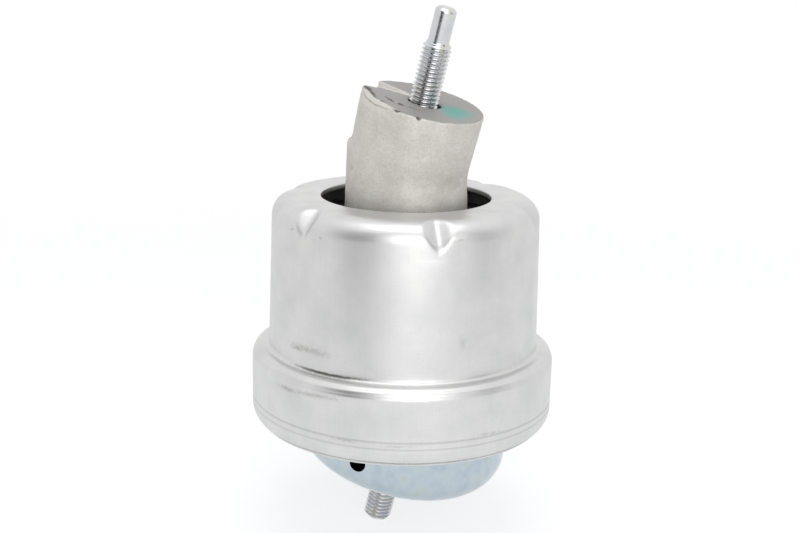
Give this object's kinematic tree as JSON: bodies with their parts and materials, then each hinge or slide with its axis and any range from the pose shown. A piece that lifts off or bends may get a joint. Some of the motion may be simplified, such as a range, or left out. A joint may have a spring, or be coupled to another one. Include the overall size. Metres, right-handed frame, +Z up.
{
  "type": "engine mount",
  "caption": "Hydraulic engine mount: aluminium can with rolled rim, leaning cast core with threaded stud, and a slanted zinc-plated cup with a lower stud.",
  "frame": {"origin": "where the lower stud's axis pierces the flat seat under the cup", "axes": "+Z up along the can's axis, +X towards the side that both studs lean to"},
  "size_m": [0.1065, 0.1066, 0.1894],
  "materials": {
    "aluminium_can": "satin drawn sheet",
    "cast_core": "matte gravity casting",
    "zinc_stud": "bright zinc plate",
    "black_rubber": "moulded matte",
    "ring_steel": "phosphated",
    "channel_aluminium": "die cast",
    "membrane_rubber": "smooth matte",
    "zinc_cup": "bright blue zinc plate on pressed steel"
  },
  "bodies": {
    "housing": {"can": "aluminium_can", "main_spring": "black_rubber", "spring_ring": "ring_steel", "channel_top": "channel_aluminium", "decoupler": "membrane_rubber", "channel_base": "channel_aluminium", "diaphragm": "membrane_rubber", "cup": "zinc_cup", "lower_stud": "zinc_stud"},
    "core": {"core": "cast_core", "upper_stud": "zinc_stud"}
  },
  "joints": [
    {"name": "core_bounce", "type": "slide", "parent": "housing", "child": "core", "axis": [0, 0, 1], "range_m": [-0.008, 0.004], "stiffness_N_per_m": 150000, "deforming": ["main_spring"]}
  ]
}
